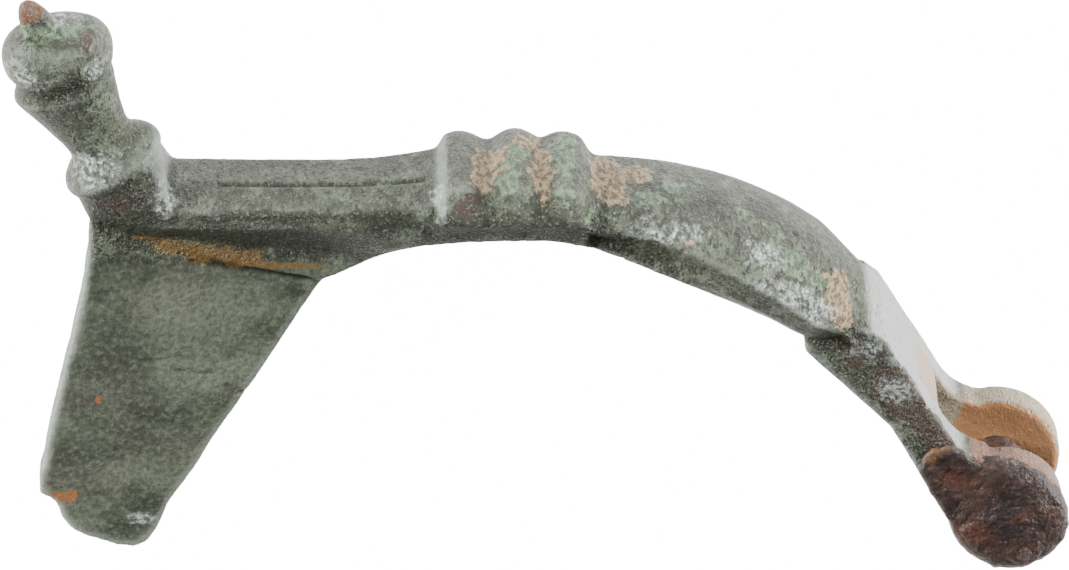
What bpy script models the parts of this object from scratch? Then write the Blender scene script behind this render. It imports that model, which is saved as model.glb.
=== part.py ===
"""Roman bow brooch (fibula) of cast copper alloy with a rusted iron hinge axle and no pin.

The brooch is drawn upright in its own frame: X along its length from foot to hinge, Y towards the crest
of the bow, Z across its width, with the top of the leg at Y = 0. It is then laid on its far side, the
way it lies when loose. All sizes are in millimetres and become metres when the meshes are made.
"""

import math

import bmesh
import bpy
import numpy as np

MM = 0.001

# Main sizes along the brooch
LEG_LENGTH = 13.7
BLOCK_LENGTH = 8.3
BOW_REACH = 13.4
HEAD_REACH = 7.6
HEAD_DROP = 9.93
PLATE_DROP = 20.95
KNOB_HEIGHT = 9.0
KNOB_LEAN = 4.45

# Leg: the flat strip between the foot and the ridges, sweeping up and out at its end
LEG_WIDTH = 6.8
LEG_ROOF = 0.22
FLARE_RUN = 6.0
FLARE_RISE = 0.4
FLARE_WIDTH = 0.9

# Ridge block, and its three cross ridges: each one's place as a share of the block, and its height
BLOCK_RISE = 0.62
BLOCK_WIDTH = 9.3
BLOCK_FLANK = 0.55
RIDGES = ((0.157, 0.44), (0.5, 0.62), (0.795, 0.46))
RIDGE_HALF_WIDTH = 1.25
RIDGE_OVERHANG = 0.13

# Bow: its back follows an ellipse that starts under the last ridge
ARC_LEAD = 2.1
ARC_REACH = 19.2
ARC_DROP = 16.4
BOW_WIDTH_AT_RIDGES = 8.8
BOW_WIDTH_AT_HEAD = 12.0
BOW_END_NARROWS = 0.31
BOW_END_RUN = 2.4
BOW_END_TIP = 0.4
BOW_CROWN_AT_RIDGES = 0.35
BOW_CROWN_AT_HEAD = 1.5

# Section below the top edge: its depth, the underside's width and the hollow run into the catch plate
DEPTH_AT_RIDGES = 1.55
DEPTH_AT_HEAD = 2.0
DEPTH_SWELL = 1.35
SIDE_DEPTH = 1.1
SIDE_SHARE = 0.57
SIDE_INWARD = 0.6
UNDERSIDE_SHARE = 0.87
UNDERSIDE_WIDTH = 4.8
EDGE_ROUND = 0.35
COVE_DEPTH = 3.3
COVE_SHARE_AT_FOOT = 0.27
COVE_RUN = 2.9
COVE_WIDTH = 2.25

# Catch plate: each corner as a distance from the start of the leg and a share of the plate's drop
PLATE_THICK = 1.8
PLATE_TOP_LEFT = (-3.7, 0.067)
PLATE_LEFT_BEND = (-3.9, 0.248)
PLATE_LEFT_LOW = (-6.2, 0.697)
PLATE_CHIP_TOP = (-6.55, 0.823)
PLATE_CHIP_DEEP = (-5.7, 0.857)
PLATE_CHIP_FOOT = (-5.2, 0.905)
PLATE_FOOT = (-1.6, 1.0)
PLATE_RIGHT_LOW = (0.1, 0.866)
PLATE_RIGHT_HIGH = (7.3, 0.294)
PLATE_HOLLOW_MIDDLE = (8.2, 0.203)
PLATE_HOLLOW_END = (10.5, 0.143)
PLATE_INSET = 0.6
PLATE_FOOT_ROUND = 1.0
PLATE_SPREAD = 1.5

# Catch: the turned-up lip on the hidden side that held the pin's point
CATCH_OUT = 3.1
CATCH_WALL = 0.9
CATCH_HEIGHT = 2.6
CATCH_LENGTH = 4.0
CATCH_ROUND = 0.4
CATCH_START = (0.2, 0.2)

# Foot knob: each ring's place as shares of the knob's lean and height above the collar, radius and tilt
COLLAR_BACK = 2.5
COLLAR_RISE = 1.5
COLLAR_RADIUS = 2.7
COLLAR_HALF = 0.85
COLLAR_BELLY = 0.75
COLLAR_TILT = 30.5
NECK_PLACE = (0.135, 0.139)
NECK_RADIUS = 1.7
NECK_TILT = 31.0
CONE_PLACE = (0.573, 0.511)
CONE_RADIUS = 2.7
CONE_TILT = 17.0
GROOVE_PLACE = (0.596, 0.567)
GROOVE_RADIUS = 2.56
GROOVE_TILT = 12.5
BEAD_PLACE = (0.625, 0.706)
BEAD_RADIUS = 2.82
BEAD_HALF = 1.0
BEAD_TOP_RADIUS = 2.2
BEAD_TILT = 8.0
NIPPLE_PLACE = (0.809, 0.811)
NIPPLE_RADIUS = 0.95
NIPPLE_TIP_RADIUS = 0.3
NIPPLE_TILT = 21.0
FOOT_TAPER = 0.72
FOOT_OVERLAP = 0.3
FOOT_INSET = 0.95

# Head bar: places are distances from the end of the bow
HEAD_WIDTH = 7.8
HEAD_START = (0.5, 0.67)
HEAD_CORNER = (1.25, 0.12)
HEAD_ROOT = 2.2
HEAD_SLOPE = 58.5
HEAD_UNDERSIDE_OFFSET = 2.72
HEAD_UNDERSIDE_SLOPE = 60.7
HEAD_UNDERSIDE_LENGTH = 6.6
HOLLOW_RISE = 1.45
HOLLOW_REACH = 1.3
HOLLOW_ANGLE = 105.0

# Hinge: two lugs, the slot between them, the rust on the near one, and the axle
LUG_RADIUS = 3.0
LUG_GAP = 3.6
SLOT_ROOT = 6.0
CRUST_BULGE = 0.45
CRUST_RADIUS = 3.14
CRUST_SHIFT = (0.5, -0.16)
CRUST_WRAP = 1.3
AXLE_RADIUS = 1.15
AXLE_CLEARANCE = 0.3
AXLE_BLIND = 1.2
AXLE_SHORT = 0.1

# How finely the round pieces are faceted
KNOB_POINTS = 28
CONE_STEPS = 7
LUG_POINTS = 48
AXLE_POINTS = 28

# Places that follow from the sizes
BLOCK_FROM = -5.2
BLOCK_TO = BLOCK_FROM + BLOCK_LENGTH
LEG_START = BLOCK_FROM - LEG_LENGTH
BOW_END = BLOCK_TO + BOW_REACH
ARC_START = BLOCK_TO - ARC_LEAD
PLATE_END = LEG_START + PLATE_RIGHT_HIGH[0] + PLATE_SPREAD


def smooth_step(value, low, high):
    """0 below low, 1 above high, and an S-curve between."""
    t = np.clip((value - low) / (high - low), 0.0, 1.0)
    return t * t * (3.0 - 2.0 * t)


def mix(a, b, t):
    return a + (b - a) * t


def ray(degrees):
    """The unit direction at an angle turned from X towards Y."""
    return np.array((math.cos(math.radians(degrees)), math.sin(math.radians(degrees))))


def quarter_bend(start, middle, end, steps):
    """Points of a smooth bend that leaves start and reaches end, pulled towards the middle point."""
    a, b, c = (np.array(p, float) for p in (start, middle, end))
    shares = np.linspace(0.0, 1.0, steps + 1)
    return [tuple((1 - t) ** 2 * a + 2 * t * (1 - t) * b + t * t * c) for t in shares]


def rounded_corner(corner, before, after, radius, steps):
    """Points of a round at a corner between two neighbouring points."""
    c = np.array(corner)
    to_before = (np.array(before) - c) / np.linalg.norm(np.array(before) - c)
    to_after = (np.array(after) - c) / np.linalg.norm(np.array(after) - c)
    half = math.acos(float(np.clip(to_before @ to_after, -1.0, 1.0))) / 2.0
    reach = radius / math.tan(half)
    return quarter_bend(c + to_before * reach, c, c + to_after * reach, steps)


def new_object(name, work):
    """A mesh object from a bmesh in metres, with its faces turned outwards."""
    bmesh.ops.recalc_face_normals(work, faces=work.faces)
    mesh = bpy.data.meshes.new(name)
    work.to_mesh(mesh)
    work.free()
    piece = bpy.data.objects.new(name, mesh)
    bpy.context.scene.collection.objects.link(piece)
    return piece


def skin(name, rings):
    """A closed skin over a row of rings that all have the same number of points."""
    work = bmesh.new()
    rows = [[work.verts.new([float(c) * MM for c in p]) for p in ring] for ring in rings]
    count = len(rows[0])
    for low, high in zip(rows, rows[1:]):
        for i in range(count):
            j = (i + 1) % count
            work.faces.new((low[i], low[j], high[j], high[i]))
    work.faces.new(rows[0])
    work.faces.new(rows[-1])
    return new_object(name, work)


def plate(name, outline, low, high):
    """A flat plate: an outline in X and Y between two heights in Z."""
    return skin(name, [[(x, y, z) for x, y in outline] for z in (low, high)])


def hull(name, points):
    """The convex hull of some points."""
    work = bmesh.new()
    for p in points:
        work.verts.new([float(c) * MM for c in p])
    bmesh.ops.convex_hull(work, input=work.verts)
    loose = [v for v in work.verts if not v.link_faces]
    bmesh.ops.delete(work, geom=loose, context="VERTS")
    return new_object(name, work)


def circle(centre, radius, points):
    """Points of a circle in X and Y."""
    return [tuple(np.array(centre) + radius * ray(360.0 * i / points)) for i in range(points)]


def rod(name, centre, radius, low, high, points):
    """A round rod along Z."""
    return plate(name, circle(centre, radius, points), low, high)


def back_line(x):
    """Height of the top edge of leg and bow at x, and its downward slope."""
    t = max(0.0, (x - ARC_START) / ARC_REACH)
    root = math.sqrt(1.0 - t * t)
    return -ARC_DROP * (1.0 - root), ARC_DROP / ARC_REACH * t / root


def across_back(x, height):
    """The point at a height above the back line, measured square to it."""
    y, slope = back_line(x)
    lean = math.atan(slope)
    return x + height * math.sin(lean), y + height * math.cos(lean)


def flare(x):
    """How far the end of the leg has swept up and out towards the ridge block, from 0 to 1."""
    near = max(0.0, min(1.0, (x - BLOCK_FROM + FLARE_RUN) / FLARE_RUN))
    return near * near * (1.0 - smooth_step(x, BLOCK_FROM, BLOCK_FROM + BLOCK_FLANK))


def past_block(x):
    """0 on the ridge block and before it, 1 on the bow."""
    return smooth_step(x, BLOCK_TO - 1.6 * BLOCK_FLANK, BLOCK_TO)


def ridge_height(x):
    """Height of the ridge block with its three ridges above the back line."""
    block = smooth_step(x, BLOCK_FROM, BLOCK_FROM + BLOCK_FLANK) * (1.0 - past_block(x))
    ridge = 0.0
    for share, rise in RIDGES:
        crest = BLOCK_FROM + share * BLOCK_LENGTH
        near = max(0.0, 1.0 - abs(x - crest) / RIDGE_HALF_WIDTH)
        ridge = max(ridge, rise * math.sin(0.5 * math.pi * near))
    return block * (BLOCK_RISE + ridge)


def half_width(x, along):
    """Half the width of the top at x."""
    block = mix(LEG_WIDTH, BLOCK_WIDTH, smooth_step(x, BLOCK_FROM, BLOCK_FROM + BLOCK_FLANK))
    bow = mix(BOW_WIDTH_AT_RIDGES, BOW_WIDTH_AT_HEAD, along)
    bow *= 1.0 - BOW_END_NARROWS * smooth_step(x, BOW_END - BOW_END_RUN, BOW_END - BOW_END_TIP)
    width = mix(block, bow, past_block(x)) + FLARE_WIDTH * flare(x)
    return 0.5 * width + RIDGE_OVERHANG * ridge_height(x)


def low_half_width(x, wide):
    """Half the width below the top edge, which runs smoothly past the ridge block."""
    before_bow = 0.5 * mix(LEG_WIDTH, BOW_WIDTH_AT_RIDGES, smooth_step(x, BLOCK_FROM - FLARE_RUN, BLOCK_TO))
    return mix(min(wide, before_bow), wide, past_block(x))


def section(x):
    """The ring of points around leg or bow at x, square to the back line."""
    along = max(0.0, min(1.0, (x - BLOCK_TO) / BOW_REACH))
    on_leg = 1.0 - smooth_step(x, BLOCK_FROM, BLOCK_FROM + BLOCK_FLANK)
    on_plate = math.exp(-max(0.0, x - PLATE_END) / COVE_RUN)
    grown = max(0.0, min(1.0, (x - LEG_START) / (PLATE_END - LEG_START)))
    crown = mix(mix(BOW_CROWN_AT_RIDGES, BOW_CROWN_AT_HEAD, along), LEG_ROOF, on_leg)
    cove = COVE_DEPTH * on_plate * mix(COVE_SHARE_AT_FOOT, 1.0, grown**0.6)
    depth = mix(DEPTH_AT_RIDGES, DEPTH_AT_HEAD, along) + DEPTH_SWELL * math.sin(math.pi * along) + cove
    under = 0.5 * mix(UNDERSIDE_WIDTH, COVE_WIDTH, on_plate)
    wide = half_width(x, along)
    rise = ridge_height(x) + FLARE_RISE * flare(x)
    low = low_half_width(x, wide)
    side = mix(SIDE_SHARE * depth, SIDE_DEPTH, on_plate)
    knee = mix(low, under, mix(0.5, 0.72, on_plate))
    right = [
        (0.0, rise + crown),
        (0.5 * wide, rise + 0.72 * crown),
        (wide - 1.6 * EDGE_ROUND, rise + 0.3 * EDGE_ROUND),
        (wide - 0.5 * EDGE_ROUND, rise - 0.35 * EDGE_ROUND),
        (wide, -1.4 * EDGE_ROUND),
        (low - mix(SIDE_INWARD, 0.35 * EDGE_ROUND, on_plate), -side),
        (knee, -mix(side, depth, 0.5)),
        (under, -depth * mix(UNDERSIDE_SHARE, 1.0, on_plate)),
    ]
    ring = right + [(-z, n) for z, n in reversed(right[1:])]
    return [(*across_back(x, n), z) for z, n in ring]


def leg_and_bow():
    """Leg, ridge block and bow in one skin."""
    leg = np.linspace(LEG_START, BLOCK_FROM, 16)
    block = np.linspace(BLOCK_FROM, BLOCK_TO, 44)[1:]
    bow = np.linspace(BLOCK_TO, BOW_END, 20)[1:]
    return skin("leg_and_bow", [section(float(x)) for x in np.concatenate([leg, block, bow])])


def knob_place(shares):
    """A place on the knob's leaning axis from its shares of the lean and the height."""
    return LEG_START - COLLAR_BACK - shares[0] * KNOB_LEAN, COLLAR_RISE + shares[1] * KNOB_HEIGHT


def tilted_ring(centre, radius, tilt, lift=0.0):
    """A round ring whose axis leans back from upright by some degrees, lifted along that axis."""
    across, up = ray(tilt), ray(tilt + 90.0)
    ring = []
    for x, z in circle((0.0, 0.0), radius, KNOB_POINTS):
        place = np.array(centre) + x * across + lift * up
        ring.append((*place, z))
    return ring


def knob():
    """Collar, neck, cone, bead and nipple, on an axis that bends slightly."""
    collar, neck, cone = knob_place((0.0, 0.0)), knob_place(NECK_PLACE), knob_place(CONE_PLACE)
    bead, nipple, tip = knob_place(BEAD_PLACE), knob_place(NIPPLE_PLACE), knob_place((1.0, 1.0))
    rings = []
    for lift in (-1.0, -0.7, 0.0, 0.7, 1.0):
        radius = COLLAR_RADIUS - COLLAR_BELLY * (1.0 - math.sqrt(1.0 - 0.9 * lift * lift))
        rings.append(tilted_ring(collar, radius, COLLAR_TILT, lift * COLLAR_HALF))
    for t in np.linspace(0.0, 1.0, CONE_STEPS + 1):
        centre = mix(np.array(neck), np.array(cone), t)
        radius = mix(NECK_RADIUS, CONE_RADIUS, t**1.15)
        rings.append(tilted_ring(centre, radius, mix(NECK_TILT, CONE_TILT, t)))
    rings.append(tilted_ring(knob_place(GROOVE_PLACE), GROOVE_RADIUS, GROOVE_TILT))
    for lift in (-0.85, -0.55, -0.2, 0.2, 0.55, 0.85):
        radius = mix(BEAD_TOP_RADIUS, BEAD_RADIUS, math.sqrt(1.0 - lift * lift))
        rings.append(tilted_ring(bead, radius, BEAD_TILT, lift * BEAD_HALF))
    rings.append(tilted_ring(bead, 0.92 * BEAD_TOP_RADIUS, BEAD_TILT, BEAD_HALF))
    rings.append(tilted_ring(nipple, 1.25 * NIPPLE_RADIUS, BEAD_TILT, -0.1 * BEAD_HALF))
    for t in (0.12, 0.45, 0.8, 1.0):
        centre = mix(np.array(nipple), np.array(tip), t)
        radius = mix(NIPPLE_RADIUS, NIPPLE_TIP_RADIUS, t * t)
        rings.append(tilted_ring(centre, radius, NIPPLE_TILT))
    return skin("knob", rings)


def plate_place(corner):
    """A corner of the catch plate in X and Y."""
    return LEG_START + corner[0], -corner[1] * PLATE_DROP


def foot_block():
    """The block under the collar that carries it on the leg and the catch plate."""
    collar = knob_place((0.0, 0.0))
    points = tilted_ring(collar, 0.94 * COLLAR_RADIUS, COLLAR_TILT)
    points += tilted_ring(collar, FOOT_TAPER * COLLAR_RADIUS, COLLAR_TILT, -0.9 * COLLAR_HALF)
    corner = plate_place(PLATE_TOP_LEFT)
    for side in (-0.5, 0.5):
        points.append((LEG_START + FOOT_OVERLAP, 0.0, side * LEG_WIDTH))
        points.append((corner[0] + FOOT_OVERLAP, corner[1] - 2.0 * FOOT_OVERLAP, side * COVE_WIDTH))
    under_leg = [p for p in section(LEG_START + FOOT_OVERLAP) if p[1] < -0.9 * SIDE_DEPTH]
    points += [(x, y, FOOT_INSET * z) for x, y, z in under_leg]
    return hull("foot_block", points)


def catch_plate():
    """The flat catch plate with its chipped lower corner."""
    top_left, chip_foot = plate_place(PLATE_TOP_LEFT), plate_place(PLATE_CHIP_FOOT)
    right_low, hollow_end = plate_place(PLATE_RIGHT_LOW), plate_place(PLATE_HOLLOW_END)
    outline = [(top_left[0] + PLATE_INSET, top_left[1] + PLATE_INSET), top_left]
    for corner in (PLATE_LEFT_BEND, PLATE_LEFT_LOW, PLATE_CHIP_TOP, PLATE_CHIP_DEEP):
        outline.append(plate_place(corner))
    outline.append(chip_foot)
    outline += rounded_corner(plate_place(PLATE_FOOT), chip_foot, right_low, PLATE_FOOT_ROUND, 4)
    outline.append(right_low)
    outline += quarter_bend(plate_place(PLATE_RIGHT_HIGH), plate_place(PLATE_HOLLOW_MIDDLE), hollow_end, 5)
    outline.append((hollow_end[0], -SIDE_DEPTH))
    return plate("catch_plate", outline, -0.5 * PLATE_THICK, 0.5 * PLATE_THICK)


def catch_lip():
    """The catch: a J-shaped lip along the foot of the plate, on the far side."""
    start, end = np.array(plate_place(PLATE_CHIP_FOOT)), np.array(plate_place(PLATE_FOOT))
    run = (end - start) / np.linalg.norm(end - start)
    up = np.array((-run[1], run[0]))
    start = start + CATCH_START[0] * run + CATCH_START[1] * up
    root = -0.2 * PLATE_THICK
    profile = [
        (root, 0.0),
        (-CATCH_OUT + CATCH_ROUND, 0.0),
        (-CATCH_OUT, CATCH_ROUND),
        (-CATCH_OUT, CATCH_HEIGHT - 0.5 * CATCH_ROUND),
        (-CATCH_OUT + 0.5 * CATCH_ROUND, CATCH_HEIGHT),
        (-CATCH_OUT + CATCH_WALL, CATCH_HEIGHT),
        (-CATCH_OUT + CATCH_WALL, CATCH_WALL),
        (root, CATCH_WALL),
    ]
    rings = []
    for along in (0.0, CATCH_LENGTH):
        base = start + along * run
        rings.append([(*(base + height * up), z) for z, height in profile])
    return skin("catch_lip", rings)


def bow_end_place(offset):
    """A place given as a distance from the end of the bow's back line."""
    return np.array((BOW_END + offset[0], back_line(BOW_END)[0] + offset[1]))


def hinge_centre():
    return bow_end_place((HEAD_REACH, -HEAD_DROP))


def head_bar():
    """The steep bar from the end of the bow to the lugs, one outline seen from the side."""
    hinge, corner = hinge_centre(), bow_end_place(HEAD_CORNER)
    run = ray(-HEAD_SLOPE)
    lug_top = hinge + LUG_RADIUS * ray(HOLLOW_ANGLE)
    length = (corner[1] - lug_top[1] - HOLLOW_RISE) / math.sin(math.radians(HEAD_SLOPE))
    knee = corner + length * run
    under_run = ray(-HEAD_UNDERSIDE_SLOPE)
    under = hinge - HEAD_UNDERSIDE_OFFSET * ray(90.0 - HEAD_UNDERSIDE_SLOPE)
    root = BOW_END - HEAD_ROOT
    outline = [bow_end_place(HEAD_START), corner]
    outline += quarter_bend(knee, knee + HOLLOW_REACH * run, lug_top, 4)
    outline += [hinge, under, under - HEAD_UNDERSIDE_LENGTH * under_run]
    outline += [across_back(root + 0.6 * HEAD_ROOT, -1.2 * DEPTH_AT_HEAD)]
    outline += [across_back(root, -DEPTH_AT_HEAD), across_back(root, 0.0)]
    return plate("head_bar", outline, -0.5 * HEAD_WIDTH, 0.5 * HEAD_WIDTH)


def crust():
    """The dome of iron rust that swells the near lug and wraps round its outer edge."""
    outer = 0.5 * HEAD_WIDTH
    centre = hinge_centre() + np.array(CRUST_SHIFT)
    levels = [(0.95, outer - CRUST_WRAP), (1.0, outer - 0.7 * CRUST_WRAP), (1.0, outer)]
    levels += [(0.94, outer + 0.5 * CRUST_BULGE), (0.74, outer + 0.85 * CRUST_BULGE), (0.4, outer + CRUST_BULGE)]
    rings = []
    for share, z in levels:
        rings.append([(x, y, z) for x, y in circle(centre, share * CRUST_RADIUS, KNOB_POINTS)])
    return skin("crust", rings)


def slot_cutter():
    """The slot between the two lugs, where the head of the missing pin sat."""
    run, side = ray(-HEAD_SLOPE), ray(90.0 - HEAD_SLOPE)
    reach = 2.0 * LUG_RADIUS
    corners = []
    for along, across in ((-SLOT_ROOT, -reach), (-SLOT_ROOT, reach), (reach, reach), (reach, -reach)):
        corners.append(tuple(hinge_centre() + along * run + across * side))
    return plate("slot_cutter", corners, -0.5 * LUG_GAP, 0.5 * LUG_GAP)


def boolean(target, other, how):
    """Join another piece to the target or cut it away, and remove the other piece."""
    step = target.modifiers.new(how, "BOOLEAN")
    step.operation = how
    step.solver = "EXACT"
    step.object = other
    done = target.evaluated_get(bpy.context.evaluated_depsgraph_get())
    mesh = bpy.data.meshes.new_from_object(done)
    target.modifiers.clear()
    target.data = mesh
    bpy.data.objects.remove(other, do_unlink=True)


def triangles(piece):
    """Corner points and triangles of a piece as arrays."""
    mesh = piece.data
    mesh.calc_loop_triangles()
    points = np.array([v.co[:] for v in mesh.vertices])
    faces = np.array([t.vertices[:] for t in mesh.loop_triangles])
    return points, faces


def centre_of_mass(points, faces):
    a, b, c = (points[faces[:, k]] for k in range(3))
    volume = np.einsum("ij,ij->i", a, np.cross(b, c)) / 6.0
    return ((a + b + c) / 4.0 * volume[:, None]).sum(0) / volume.sum()


def resting_plane(piece):
    """Outward normal and a corner of the hull face on the far side that lies under the centre of mass."""
    points, faces = triangles(piece)
    centre = centre_of_mass(points, faces)
    work = bmesh.new()
    for p in points:
        work.verts.new(p)
    bmesh.ops.convex_hull(work, input=work.verts)
    found = None
    for face in work.faces:
        corners = [np.array(v.co) for v in face.verts]
        normal = np.array(face.normal)
        if normal @ (corners[0] - centre) < 0.0:
            normal = -normal
        foot = centre + normal * (normal @ (corners[0] - centre))
        turns = []
        for k, corner in enumerate(corners):
            edge = corners[(k + 1) % len(corners)] - corner
            turns.append(np.cross(edge, foot - corner) @ normal)
        if normal[2] < -0.8 and (min(turns) >= 0.0 or max(turns) <= 0.0):
            found = (normal, corners[0])
    work.free()
    return found


def lay_down(pieces):
    """Turn all pieces so that the resting plane is the floor, with the middle of the box over the origin."""
    normal, corner = resting_plane(pieces[0])
    up = -normal
    ahead = np.array((1.0, 0.0, 0.0)) - up[0] * up
    ahead /= np.linalg.norm(ahead)
    turn = np.array((ahead, np.cross(up, ahead), up))
    clouds = [triangles(piece)[0] @ turn.T for piece in pieces]
    every = np.vstack(clouds)
    middle = 0.5 * (every.min(0) + every.max(0))
    shift = np.array((-middle[0], -middle[1], -(turn @ corner)[2]))
    for piece, cloud in zip(pieces, clouds):
        piece.data.vertices.foreach_set("co", (cloud + shift).ravel())
        piece.data.update()
    print("turn", turn.round(6).tolist(), "shift_mm", (shift / MM).round(4).tolist())


def paint(piece, slot, colour, metallic, roughness):
    material = bpy.data.materials.new(slot)
    material.use_nodes = True
    shader = material.node_tree.nodes["Principled BSDF"]
    shader.inputs["Base Color"].default_value = (*colour, 1.0)
    shader.inputs["Metallic"].default_value = metallic
    shader.inputs["Roughness"].default_value = roughness
    piece.data.materials.clear()
    piece.data.materials.append(material)


def main():
    for old in list(bpy.data.objects):
        bpy.data.objects.remove(old, do_unlink=True)
    outer, inner = 0.5 * HEAD_WIDTH, 0.5 * LUG_GAP
    hinge = hinge_centre()
    bore_end = inner + AXLE_BLIND

    brooch = leg_and_bow()
    brooch.name = "cast_brooch"
    for piece in (foot_block(), knob(), catch_plate(), catch_lip()):
        boolean(brooch, piece, "UNION")
    head = head_bar()
    boolean(head, rod("lugs", hinge, LUG_RADIUS, -outer, outer, LUG_POINTS), "UNION")
    boolean(head, crust(), "UNION")
    boolean(head, slot_cutter(), "DIFFERENCE")
    bore_radius = AXLE_RADIUS + AXLE_CLEARANCE
    bore = rod("bore", hinge, bore_radius, -outer - LUG_GAP, bore_end, AXLE_POINTS)
    boolean(head, bore, "DIFFERENCE")
    boolean(brooch, head, "UNION")

    axle = rod("iron_axle", hinge, AXLE_RADIUS, -outer + AXLE_SHORT, bore_end - AXLE_CLEARANCE, AXLE_POINTS)

    lay_down([brooch, axle])
    paint(brooch, "bronze_patina", (0.33, 0.37, 0.31), 0.3, 0.6)
    paint(axle, "iron_rust", (0.24, 0.13, 0.08), 0.2, 0.8)


main()
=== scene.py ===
# %% [markdown]
# # A Roman bow brooch from the ground
# The brooch is one casting in copper alloy: a knobbed foot, a flat leg with a groove, three cross ridges, an
# arched bow, a steep head with two hinge lugs, and a flat catch plate. Long burial gave it a mottled
# grey-green skin, and the iron axle in its hinge has rusted into a brown lump. The pin is lost.
# All shapes are drawn in millimetres in the brooch's own frame (X along the length, Y towards the crest, Z
# towards the viewer) and are laid on the floor at the very end.

# %% Tools and frame
import math
import bmesh
import bpy
import numpy as np
from mathutils import Matrix, Vector


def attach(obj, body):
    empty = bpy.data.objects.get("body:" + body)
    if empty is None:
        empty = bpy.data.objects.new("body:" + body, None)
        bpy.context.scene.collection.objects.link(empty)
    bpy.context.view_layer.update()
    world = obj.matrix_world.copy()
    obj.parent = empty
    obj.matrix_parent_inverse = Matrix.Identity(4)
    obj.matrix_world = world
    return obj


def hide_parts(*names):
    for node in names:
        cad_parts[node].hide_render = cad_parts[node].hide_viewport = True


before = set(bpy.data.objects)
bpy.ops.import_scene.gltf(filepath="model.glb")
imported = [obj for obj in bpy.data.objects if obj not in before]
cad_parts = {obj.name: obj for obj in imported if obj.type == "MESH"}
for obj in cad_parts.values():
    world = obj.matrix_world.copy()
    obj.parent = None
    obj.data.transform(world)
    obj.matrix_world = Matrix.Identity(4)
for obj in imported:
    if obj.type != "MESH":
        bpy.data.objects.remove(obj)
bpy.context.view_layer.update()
MM = 0.001
UP = np.array((0.056865, 0.0322, 0.997862))
SHIFT = np.array((-0.2982, 5.0962, 5.0341))


def resting_turn():
    """Rows are the brooch's resting directions: along, across the floor, and up, square to one another."""
    along = np.array((1.0, 0.0, 0.0)) - UP[0] * UP
    along /= np.linalg.norm(along)
    return np.array((along, np.cross(UP, along), UP))


TURN = resting_turn()


def laid_down(points):
    """Drawing millimetres to metres on the floor: turn onto the far side, move over the origin, scale."""
    return (points @ TURN.T + SHIFT) * MM


# %% [markdown]
# ## Numbers that look like age
# Corrosion has no pattern that repeats, but it must be the same each time the script runs. A whole-number
# hash gives each corner of a fine lattice its own value, and blending between the corners gives a soft,
# endless grain at any size we ask for.

# %% Grain
def smooth_step(value, low, high):
    """0 below low, 1 above high, and an S-curve between."""
    t = np.clip((value - low) / (high - low), 0.0, 1.0)
    return t * t * (3.0 - 2.0 * t)


def mix(a, b, t):
    """A value t of the way from a to b."""
    return a + (b - a) * t


def corner_values(cells, seed):
    """A fixed value from -1 to 1 for each lattice corner, from multiplying and folding its whole numbers."""
    c = cells.astype(np.int64).astype(np.uint64)
    n = c[:, 0] * np.uint64(73856093) ^ c[:, 1] * np.uint64(19349663) ^ c[:, 2] * np.uint64(83492791)
    n = (n ^ np.uint64(seed * 7919 + 17)) * np.uint64(2654435761)
    n = (n ^ (n >> np.uint64(15))) * np.uint64(2246822519)
    n = n ^ (n >> np.uint64(13))
    return (n & np.uint64(0xFFFFFF)).astype(float) / 0x7FFFFF - 1.0


def grain(points, size, seed):
    """Soft noise from -1 to 1 whose lumps are about size across: lattice values blended with S-curves."""
    p = points / size + 1000.0
    base = np.floor(p)
    part = p - base
    part = part * part * (3.0 - 2.0 * part)
    total = np.zeros(len(points))
    for corner in range(8):
        step = np.array([(corner >> k) & 1 for k in range(3)])
        share = np.prod(np.where(step == 1, part, 1.0 - part), axis=1)
        total += share * corner_values(base + step, seed)
    return total


def rough(points, size, seed, octaves=4):
    """Several grains added up, each half the size and half the strength of the one before."""
    total = np.zeros(len(points))
    for octave in range(octaves):
        total += 0.5**octave * grain(points, size * 0.5**octave, seed + 31 * octave)
    return total / 1.6


sample = rough(np.random.default_rng(1).uniform(-20.0, 20.0, (2000, 3)), 2.6, 1)
print("grain runs from", round(float(sample.min()), 2), "to", round(float(sample.max()), 2))


# %% [markdown]
# ## Closed skins
# Every form of the casting is a row of rings with a skin over it, closed at both ends. The founder's wax
# model was also put together from simple forms that were then melted into one another.

# %% Skins and prisms
def ray(degrees):
    """The unit direction at an angle turned from X towards Y."""
    return np.array((math.cos(math.radians(degrees)), math.sin(math.radians(degrees))))


def skin(rings):
    """Points and faces of a closed skin over an array of rings, shape (rings, points, 3)."""
    count = rings.shape[1]
    start = (np.arange(len(rings) - 1)[:, None] * count + np.arange(count)).ravel()
    after = (np.arange(len(rings) - 1)[:, None] * count + np.roll(np.arange(count), -1)).ravel()
    sides = np.stack([start, after, after + count, start + count], 1).tolist()
    ends = [list(range(count))[::-1], list(range((len(rings) - 1) * count, len(rings) * count))]
    return rings.reshape(-1, 3), sides + ends


def prism(outline, low, high):
    """An outline in X and Y carried from one height in Z to another."""
    flat = np.array(outline, float)
    rings = [np.column_stack([flat, np.full(len(flat), z)]) for z in (low, high)]
    return skin(np.array(rings))


def turned(centre, profile, points=96):
    """A form turned about Z: the profile gives (height in Z, radius) pairs."""
    angle = np.linspace(0.0, 2.0 * np.pi, points, endpoint=False)
    rings = []
    for z, radius in profile:
        x, y = centre[0] + radius * np.cos(angle), centre[1] + radius * np.sin(angle)
        rings.append(np.column_stack([x, y, np.full(points, z)]))
    return skin(np.array(rings))


def bend(start, middle, end, steps):
    """Points of a curve that leaves start and reaches end, pulled towards the middle point."""
    t = np.linspace(0.0, 1.0, steps + 1)[:, None]
    a, b, c = (np.array(p, float) for p in (start, middle, end))
    return ((1 - t) ** 2 * a + 2 * t * (1 - t) * b + t * t * c).tolist()


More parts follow.
